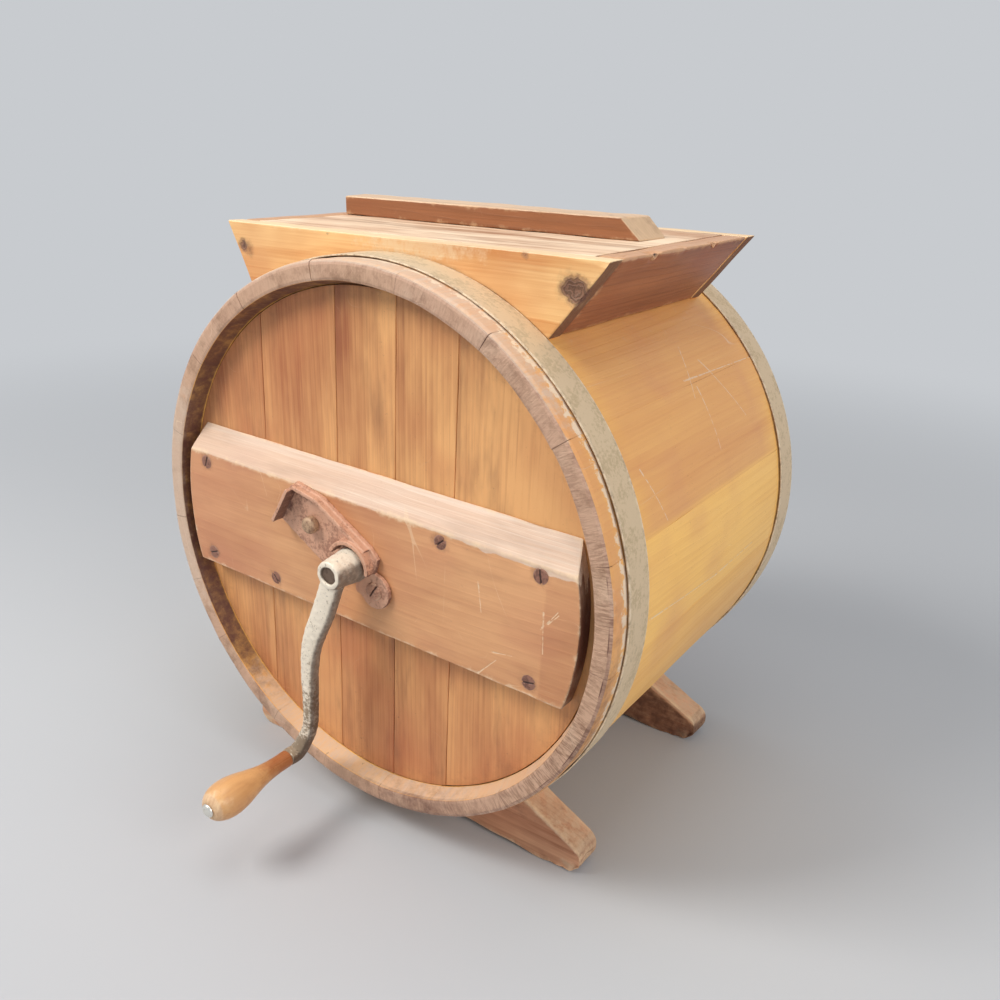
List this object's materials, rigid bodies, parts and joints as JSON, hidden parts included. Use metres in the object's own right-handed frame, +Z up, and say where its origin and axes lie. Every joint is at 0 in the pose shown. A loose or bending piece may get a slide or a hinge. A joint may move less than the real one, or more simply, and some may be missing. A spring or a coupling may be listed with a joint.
{
  "type": "cylinder butter churn",
  "caption": "Hand-cranked cylinder butter churn of hooped wooden staves on cradle feet, with a hopper mouth and lift-off lid, a swinging crank latch and a pierced dasher inside.",
  "frame": {"origin": "on the ground under the middle of the churn, half-way between the crank grip's tip and the rear edge of the barrel", "axes": "+Z up, +Y from the crank towards the rear head along the barrel, +X to the right seen from the crank"},
  "size_m": [0.3992, 0.4128, 0.4466],
  "materials": {
    "stave_cedar": "worn clear varnish over white cedar, dull satin",
    "head_cedar": "worn clear varnish over white cedar, dull satin",
    "galvanised_hoop": "weathered galvanised strip, dull and stained",
    "batten_wood": "worn varnish, scuffed pale along the edges",
    "rusty_screw": "dark rust",
    "rusty_casting": "even brown rust over a sand casting",
    "crank_iron": "worn zinc wash over cast iron, pitted",
    "spindle_steel": "bright riveted steel",
    "grip_maple": "hand-polished turned maple",
    "dasher_maple": "bare scrubbed wood",
    "hopper_pine": "worn varnish over yellow pine, satin",
    "hopper_side_pine": "darkened varnish, worn pale along the top edge",
    "lid_pine": "bare weathered wood with dark streaks",
    "foot_wood": "stained wood, scuffed pale on the sloping tops"
  },
  "bodies": {
    "churn_body": {"stave_01": "stave_cedar", "stave_02": "stave_cedar", "stave_03_front": "stave_cedar", "stave_03_rear": "stave_cedar", "stave_04_front": "stave_cedar", "stave_04_rear": "stave_cedar", "stave_05_front": "stave_cedar", "stave_05_rear": "stave_cedar", "stave_06": "stave_cedar", "stave_07": "stave_cedar", "stave_08": "stave_cedar", "stave_09": "stave_cedar", "stave_10": "stave_cedar", "stave_11": "stave_cedar", "stave_12": "stave_cedar", "stave_13": "stave_cedar", "stave_14": "stave_cedar", "stave_15": "stave_cedar", "stave_16": "stave_cedar", "stave_17": "stave_cedar", "stave_18": "stave_cedar", "front_head_board_1": "head_cedar", "front_head_board_2": "head_cedar", "front_head_board_3": "head_cedar", "front_head_board_4": "head_cedar", "front_head_board_5": "head_cedar", "rear_head_board_1": "head_cedar", "rear_head_board_2": "head_cedar", "rear_head_board_3": "head_cedar", "front_hoop": "galvanised_hoop", "rear_hoop": "galvanised_hoop", "front_batten": "batten_wood", "batten_screw_1": "rusty_screw", "batten_screw_2": "rusty_screw", "batten_screw_3": "rusty_screw", "batten_screw_4": "rusty_screw", "batten_screw_5": "rusty_screw", "batten_screw_6": "rusty_screw", "latch_pivot_screw": "rusty_screw", "rear_pivot": "rusty_casting", "hopper_front_board": "hopper_pine", "hopper_rear_board": "hopper_pine", "hopper_right_board": "hopper_side_pine", "hopper_left_board": "hopper_side_pine", "front_foot": "foot_wood", "rear_foot": "foot_wood"},
    "crank_and_dasher": {"crank_arm": "crank_iron", "crank_shaft": "crank_iron", "grip_spindle": "spindle_steel", "dasher_hub": "dasher_maple", "dasher_blade_1": "dasher_maple", "dasher_blade_2": "dasher_maple", "dasher_blade_3": "dasher_maple", "dasher_blade_4": "dasher_maple"},
    "grip": {"crank_grip": "grip_maple"},
    "latch": {"latch_plate": "rusty_casting"},
    "thumb": {"thumb_screw": "rusty_casting"},
    "lid_assembly": {"lid": "lid_pine", "lid_bar": "batten_wood"}
  },
  "joints": [
    {"name": "crank_turn", "type": "hinge", "parent": "churn_body", "child": "crank_and_dasher", "pos_m": [0, 0, 0.2195], "axis": [0, 1, 0], "continuous": true},
    {"name": "grip_spin", "type": "hinge", "parent": "crank_and_dasher", "child": "grip", "pos_m": [-0.0453, -0.1674, 0.0575], "axis": [0, 1, 0], "continuous": true},
    {"name": "latch_swing", "type": "hinge", "parent": "churn_body", "child": "latch", "pos_m": [0.0176, -0.0976, 0.2034], "axis": [0, 1, 0], "range_deg": [0, 75]},
    {"name": "thumb_screw_turn", "type": "hinge", "parent": "latch", "child": "thumb", "pos_m": [-0.03786, -0.1008, 0.23908], "axis": [0, 1, 0], "range_deg": [0, 360]},
    {"name": "lid_lift", "type": "slide", "parent": "churn_body", "child": "lid_assembly", "axis": [0, 0, 1], "range_m": [0, 0.12]}
  ]
}
